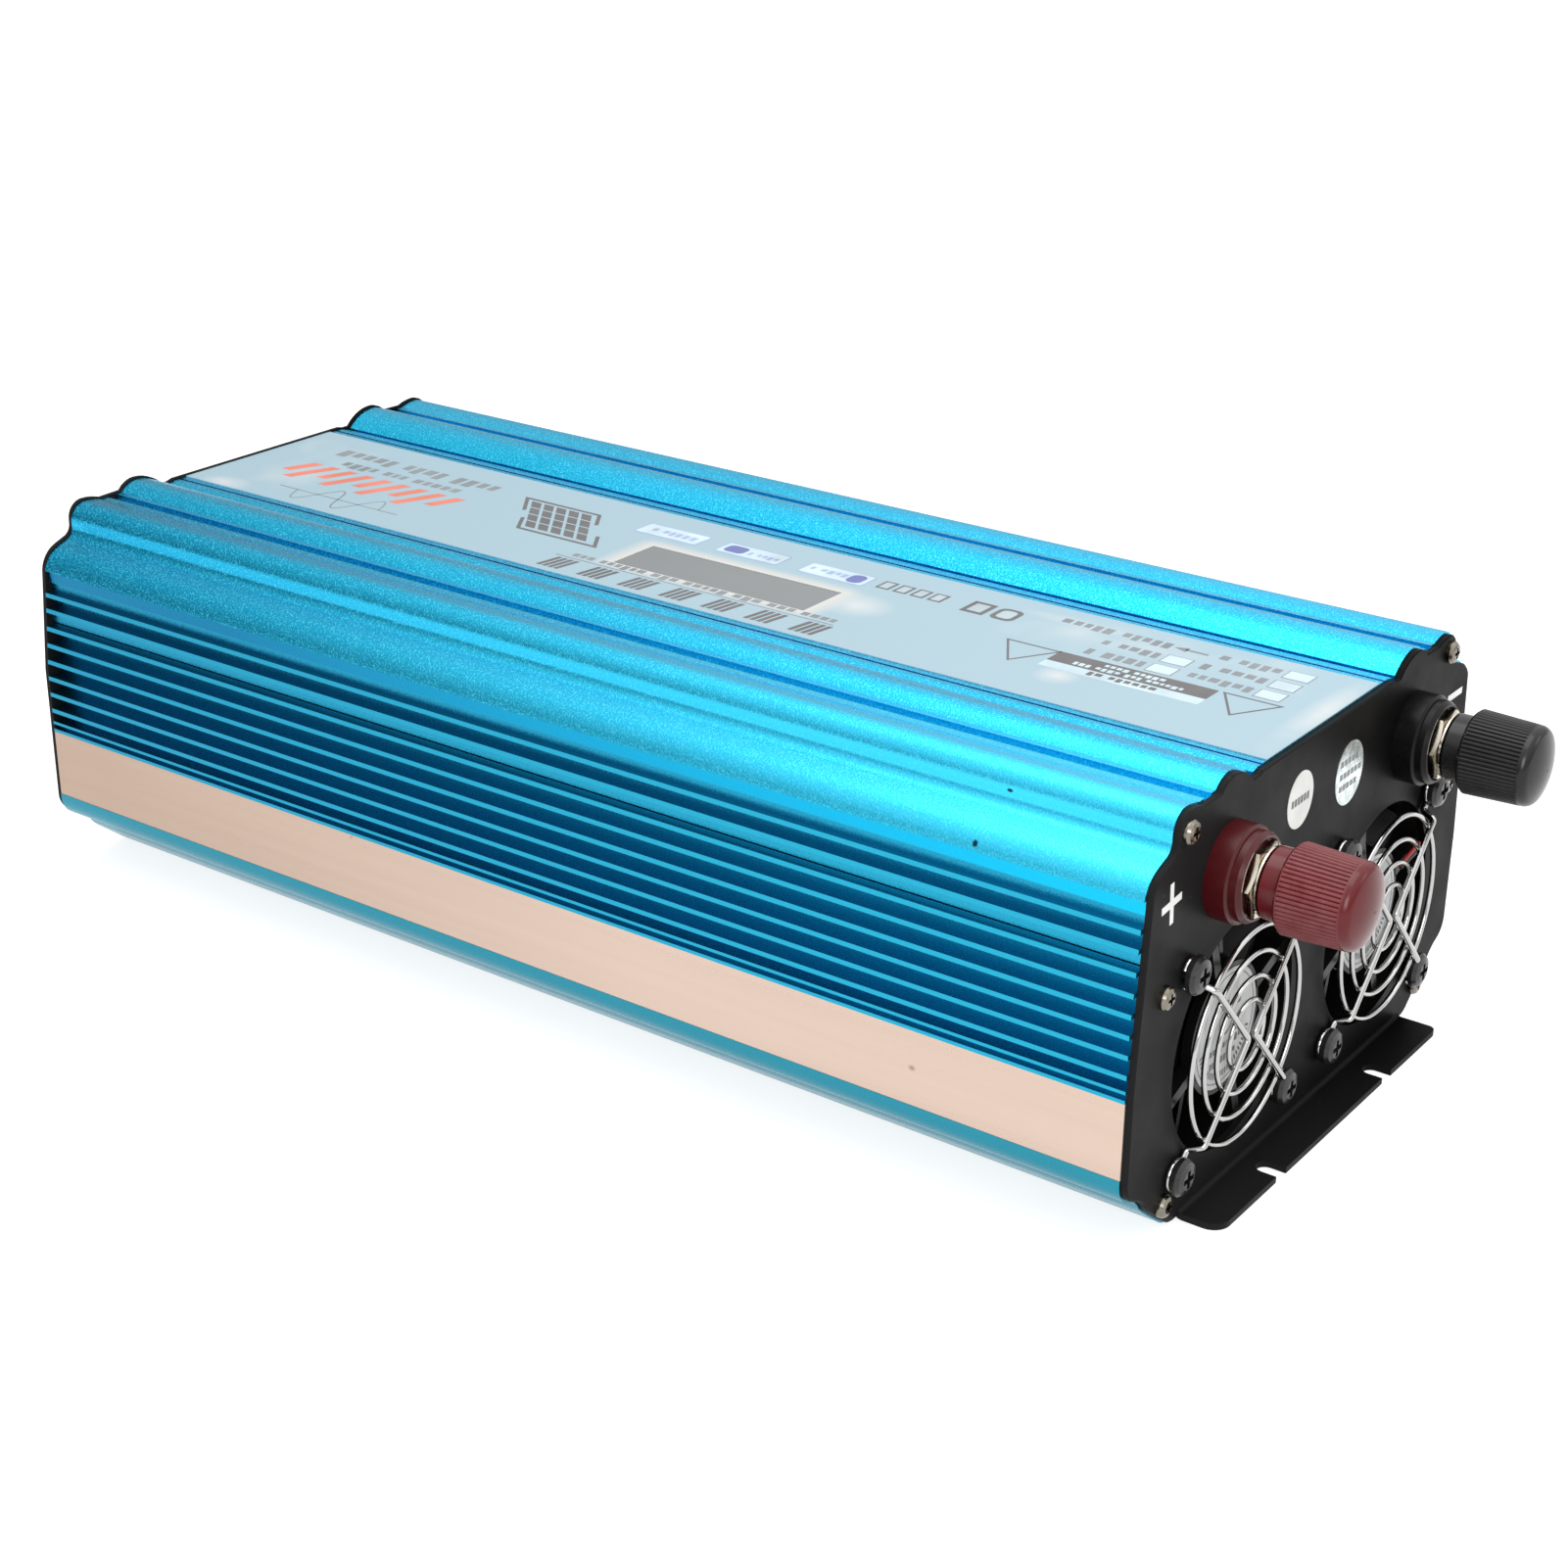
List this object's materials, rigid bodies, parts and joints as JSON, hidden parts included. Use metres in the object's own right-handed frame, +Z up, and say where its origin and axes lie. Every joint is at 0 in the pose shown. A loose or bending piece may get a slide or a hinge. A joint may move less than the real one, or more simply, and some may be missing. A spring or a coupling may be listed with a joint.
{
  "type": "power inverter",
  "caption": "Ribbed extruded case that turns battery current into mains current: screw terminals and fans at one end, sockets and a switch at the other.",
  "frame": {"origin": "centre of the base on its underside", "axes": "+Y along the case towards the mains sockets, +Z up, +X across towards the minus terminal"},
  "size_m": [0.167, 0.3891, 0.1052],
  "materials": {
    "blue_anodised": "satin anodised",
    "black_powder_coat": "satin",
    "label_film": "satin",
    "display_lens": "gloss",
    "display_board": "satin",
    "peach_foil": "satin",
    "nickel": "gloss",
    "black_screw": "gloss",
    "fan_black": "satin",
    "sticker_silver": "gloss",
    "sticker_white": "matte",
    "chrome_wire": "polished",
    "red_plastic": "satin",
    "black_plastic": "satin",
    "brass": "satin",
    "socket_plastic": "satin",
    "switch_red": "gloss",
    "lamp_lens": "gloss",
    "circuit_board": "satin",
    "ferrite": "matte",
    "copper_winding": "gloss",
    "capacitor_sleeve": "gloss",
    "transistor_black": "matte",
    "plain_aluminium": "satin",
    "fuse_plastic": "gloss",
    "red_cable": "satin",
    "black_cable": "satin"
  },
  "bodies": {
    "case": {"upper_shell": "blue_anodised", "lower_shell": "blue_anodised", "front_plate": "black_powder_coat", "rear_plate": "black_powder_coat", "top_label": "label_film", "display_window": "display_lens", "display_module": "display_board", "side_strip_left": "peach_foil", "side_strip_right": "peach_foil", "front_case_screws": "nickel", "rear_case_screws": "nickel", "fan_screws": "black_screw", "fan_frame_left": "fan_black", "fan_frame_right": "fan_black", "fan_sticker_left": "sticker_silver", "fan_sticker_right": "sticker_silver", "fan_guard_left": "chrome_wire", "fan_guard_right": "chrome_wire", "sticker_white": "sticker_white", "sticker_silver": "sticker_silver", "terminal_base_plus": "red_plastic", "terminal_base_minus": "black_plastic", "terminal_stud_plus": "brass", "terminal_stud_minus": "brass", "terminal_nut_plus": "nickel", "terminal_nut_minus": "nickel", "terminal_inner_nut_plus": "nickel", "terminal_inner_nut_minus": "nickel", "ac_socket_1": "socket_plastic", "ac_socket_2": "socket_plastic", "switch_frame": "black_plastic", "usb_socket": "socket_plastic", "status_lamps": "lamp_lens", "main_board": "circuit_board", "control_board": "circuit_board", "board_standoffs": "brass", "board_screws": "nickel", "transformer_cores": "ferrite", "transformer_coils": "copper_winding", "choke_core": "ferrite", "choke_winding": "copper_winding", "input_capacitors": "capacitor_sleeve", "bus_capacitors": "capacitor_sleeve", "power_transistors": "transistor_black", "transistor_bar_left": "plain_aluminium", "transistor_bar_right": "plain_aluminium", "blade_fuses": "fuse_plastic", "dc_cable_plus": "red_cable", "dc_cable_minus": "black_cable", "ac_leads": "black_cable", "fan_leads": "red_cable"},
    "fan_left": {"fan_rotor_left": "fan_black"},
    "fan_right": {"fan_rotor_right": "fan_black"},
    "plus_washer": {"knob_washer_plus": "nickel"},
    "plus_knob": {"knob_plus": "red_plastic", "knob_insert_plus": "brass"},
    "minus_washer": {"knob_washer_minus": "nickel"},
    "minus_knob": {"knob_minus": "black_plastic", "knob_insert_minus": "brass"},
    "rocker": {"rocker": "switch_red"}
  },
  "joints": [
    {"name": "fan_left_spin", "type": "hinge", "parent": "case", "child": "fan_left", "pos_m": [-0.03715, -0.157, 0.0387], "axis": [0, 1, 0], "continuous": true},
    {"name": "fan_right_spin", "type": "hinge", "parent": "case", "child": "fan_right", "pos_m": [0.03715, -0.157, 0.0387], "axis": [0, 1, 0], "continuous": true},
    {"name": "plus_travel", "type": "slide", "parent": "case", "child": "plus_washer", "axis": [0, -1, 0], "range_m": [0, 0.01005]},
    {"name": "plus_turn", "type": "hinge", "parent": "plus_washer", "child": "plus_knob", "pos_m": [-0.0471, -0.195, 0.0824], "axis": [0, -1, 0], "range_deg": [0, 2880]},
    {"name": "minus_travel", "type": "slide", "parent": "case", "child": "minus_washer", "axis": [0, -1, 0], "range_m": [0, 0.01005]},
    {"name": "minus_turn", "type": "hinge", "parent": "minus_washer", "child": "minus_knob", "pos_m": [0.0471, -0.195, 0.0824], "axis": [0, -1, 0], "range_deg": [0, 2880]},
    {"name": "rocker_tilt", "type": "hinge", "parent": "case", "child": "rocker", "pos_m": [-0.056, 0.1685, 0.074], "axis": [1, 0, 0], "range_deg": [0, 18]}
  ],
  "couplings": [
    {"joint": "plus_travel", "follows": "plus_turn", "m_per_rad": 0.00019894},
    {"joint": "minus_travel", "follows": "minus_turn", "m_per_rad": 0.00019894}
  ]
}
